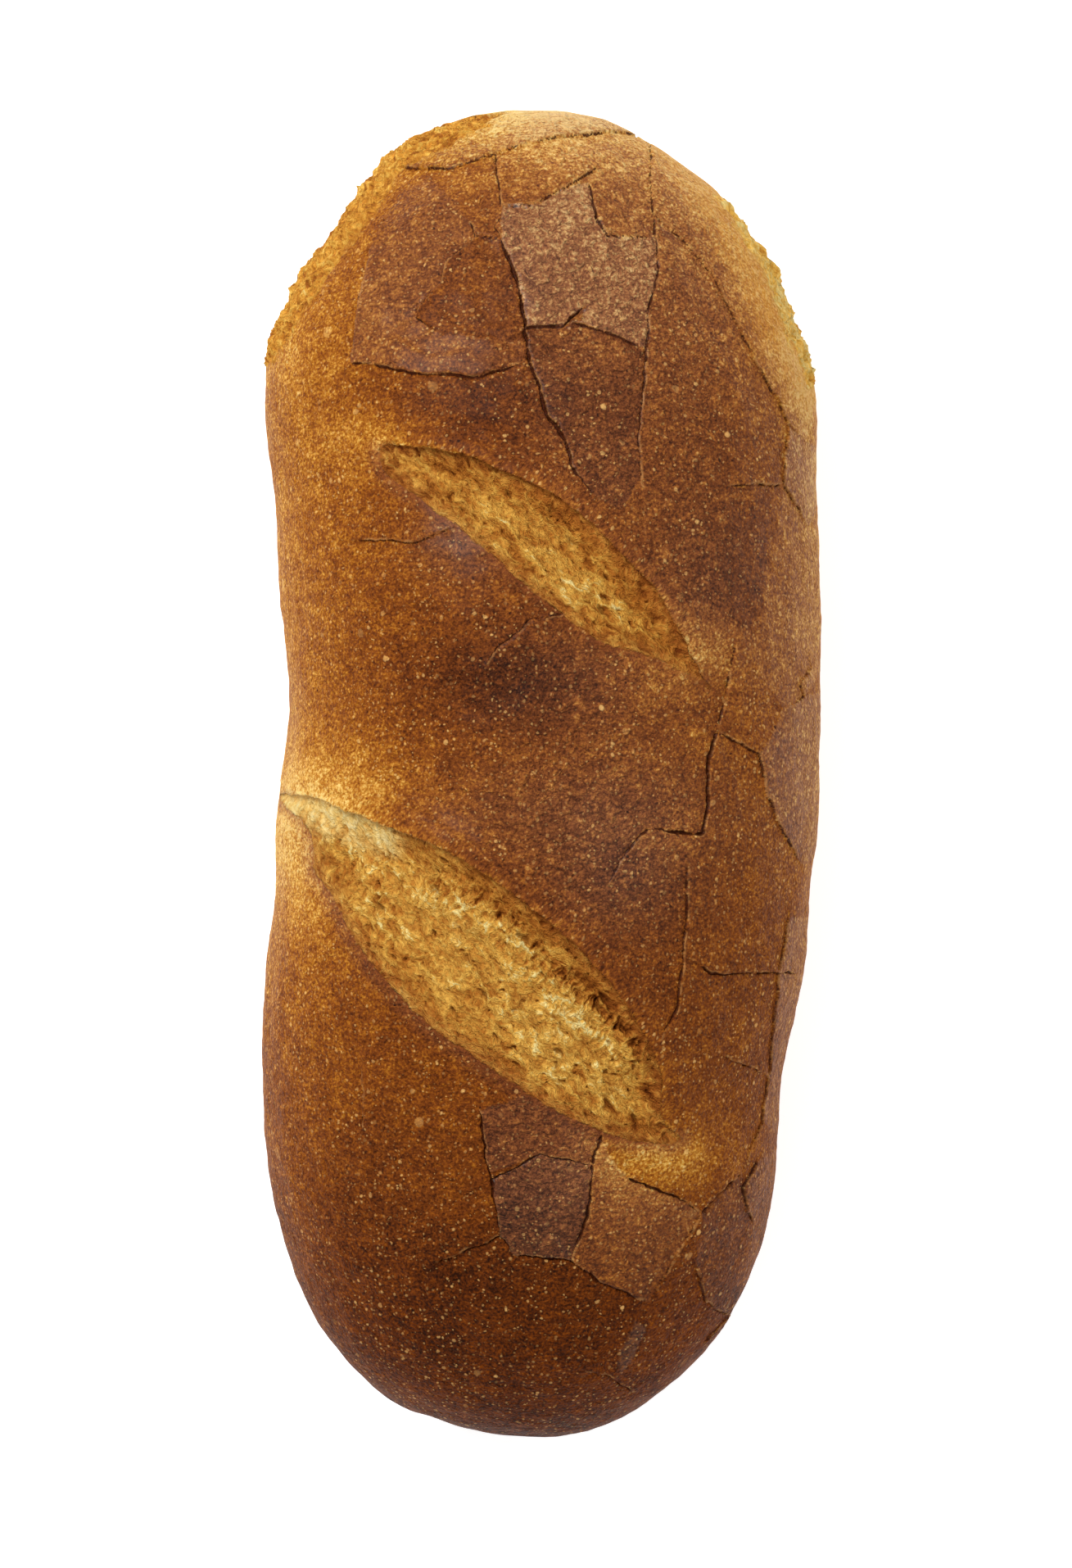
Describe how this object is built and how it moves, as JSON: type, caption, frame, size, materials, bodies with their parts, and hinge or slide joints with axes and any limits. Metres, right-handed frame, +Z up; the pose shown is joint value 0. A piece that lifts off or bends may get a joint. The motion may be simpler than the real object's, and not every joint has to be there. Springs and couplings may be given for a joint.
{
  "type": "bread loaf",
  "caption": "Long white hearth loaf with a domed brown crust, round ends, a flat underside and slanted slashes that opened in the oven.",
  "frame": {"origin": "middle of the loaf's bounding box, on the plane of its flat underside", "axes": "+Y along the loaf, towards the end nearer the narrow slash; +Z up; +X to the right, seen from above with +Y ahead"},
  "size_m": [0.121, 0.29, 0.0798],
  "materials": {
    "crust": "satin golden to red-brown baked crust, crackled and finely blistered, with open tan crumb in the slashes"
  },
  "bodies": {
    "root": {"loaf": "crust"}
  },
  "joints": []
}
